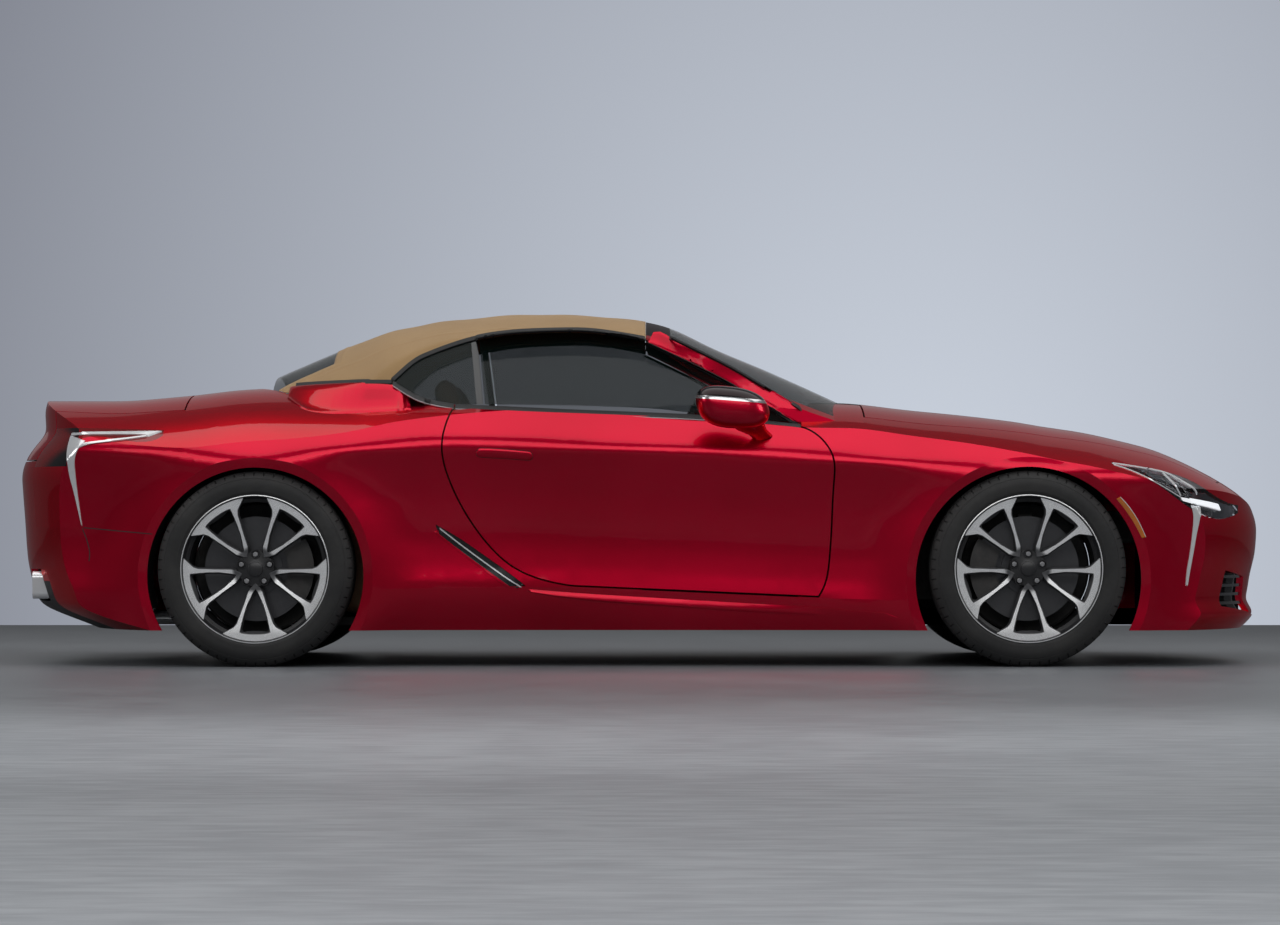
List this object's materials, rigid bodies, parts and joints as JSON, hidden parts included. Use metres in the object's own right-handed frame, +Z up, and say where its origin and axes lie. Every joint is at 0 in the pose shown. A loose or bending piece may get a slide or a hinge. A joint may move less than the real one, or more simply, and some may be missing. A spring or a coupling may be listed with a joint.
{
  "type": "convertible car",
  "caption": "Two-door convertible with closed soft top, hinged doors, bonnet and boot lid, steered front wheels and turning wheels.",
  "frame": {"origin": "middle of the car's length and width, on the ground under the wheels", "axes": "+X forward, +Y to the car's left, +Z up"},
  "size_m": [4.7593, 2.1838, 1.3449],
  "materials": {
    "paint": "metallic red lacquer",
    "black_plastic": "grained",
    "steel": "machined",
    "underbody": "satin coating",
    "glass": "tinted",
    "lamp": "clear cover",
    "tail_lamp": "red cover",
    "cloth": "woven",
    "leather": "tan",
    "tyre": "moulded",
    "alloy": "machined",
    "iron": "bare",
    "chrome": "polished"
  },
  "bodies": {
    "body": {"floor": "underbody", "front_structure": "underbody", "rear_structure": "underbody", "fender_left": "paint", "fender_right": "paint", "quarter_panel_left": "paint", "quarter_panel_right": "paint", "sills": "paint", "front_bumper": "paint", "rear_bumper": "paint", "tonneau_cover": "paint", "cowl": "black_plastic", "headlamps": "lamp", "tail_lamps": "tail_lamp", "soft_top": "cloth", "rear_window": "glass", "quarter_glasses": "glass", "windscreen": "glass", "windscreen_frame": "paint", "front_suspension": "underbody", "rear_suspension": "underbody", "exhaust": "chrome", "arch_liners": "black_plastic", "engine": "iron", "dashboard": "black_plastic", "front_seats": "leather", "rear_seat": "leather", "grille": "black_plastic", "diffuser": "black_plastic", "bumper_intakes": "black_plastic", "glass_bars": "black_plastic"},
    "bonnet": {"bonnet": "paint"},
    "boot_lid": {"boot_lid": "paint"},
    "steering_wheel": {"steering_wheel": "black_plastic"},
    "door_left": {"door_left": "paint", "door_glass_left": "glass", "door_mirror_left": "paint"},
    "knuckle_left": {"knuckle_left": "iron"},
    "wheel_front_left": {"tyre_front_left": "tyre", "rim_front_left": "alloy", "brake_disc_front_left": "steel"},
    "wheel_rear_left": {"tyre_rear_left": "tyre", "rim_rear_left": "alloy", "brake_disc_rear_left": "steel"},
    "door_right": {"door_right": "paint", "door_glass_right": "glass", "door_mirror_right": "paint"},
    "knuckle_right": {"knuckle_right": "iron"},
    "wheel_front_right": {"tyre_front_right": "tyre", "rim_front_right": "alloy", "brake_disc_front_right": "steel"},
    "wheel_rear_right": {"tyre_rear_right": "tyre", "rim_rear_right": "alloy", "brake_disc_rear_right": "steel"}
  },
  "joints": [
    {"name": "steer_left", "type": "hinge", "parent": "body", "child": "knuckle_left", "pos_m": [1.445, 0.737, 0.3645], "axis": [0, 0, 1], "range_deg": [-35, 35]},
    {"name": "spin_front_left", "type": "hinge", "parent": "knuckle_left", "child": "wheel_front_left", "pos_m": [1.445, 0.815, 0.3645], "axis": [0, 1, 0], "continuous": true},
    {"name": "spin_rear_left", "type": "hinge", "parent": "body", "child": "wheel_rear_left", "pos_m": [-1.425, 0.82, 0.3632], "axis": [0, 1, 0], "continuous": true},
    {"name": "door_left", "type": "hinge", "parent": "body", "child": "door_left", "pos_m": [0.72189, 0.923, 0.6], "axis": [0, 0, -1], "range_deg": [0, 65]},
    {"name": "steer_right", "type": "hinge", "parent": "body", "child": "knuckle_right", "pos_m": [1.445, -0.737, 0.3645], "axis": [0, 0, 1], "range_deg": [-35, 35]},
    {"name": "spin_front_right", "type": "hinge", "parent": "knuckle_right", "child": "wheel_front_right", "pos_m": [1.445, -0.815, 0.3645], "axis": [0, 1, 0], "continuous": true},
    {"name": "spin_rear_right", "type": "hinge", "parent": "body", "child": "wheel_rear_right", "pos_m": [-1.425, -0.82, 0.3632], "axis": [0, 1, 0], "continuous": true},
    {"name": "door_right", "type": "hinge", "parent": "body", "child": "door_right", "pos_m": [0.72189, -0.923, 0.6], "axis": [0, 0, 1], "range_deg": [0, 65]},
    {"name": "bonnet", "type": "hinge", "parent": "body", "child": "bonnet", "pos_m": [0.84747, 0, 1.002], "axis": [0, -1, 0], "range_deg": [0, 50]},
    {"name": "boot_lid", "type": "hinge", "parent": "body", "child": "boot_lid", "pos_m": [-1.7158, 0, 1.03], "axis": [0, 1, 0], "range_deg": [0, 75]},
    {"name": "steering_wheel", "type": "hinge", "parent": "body", "child": "steering_wheel", "pos_m": [0.13198, 0.37, 0.8], "axis": [-0.9135, 0, 0.4067], "range_deg": [-455, 455]}
  ],
  "couplings": [
    {"joint": "steer_right", "follows": "steer_left", "ratio": 1},
    {"joint": "steering_wheel", "follows": "steer_left", "ratio": 13}
  ]
}
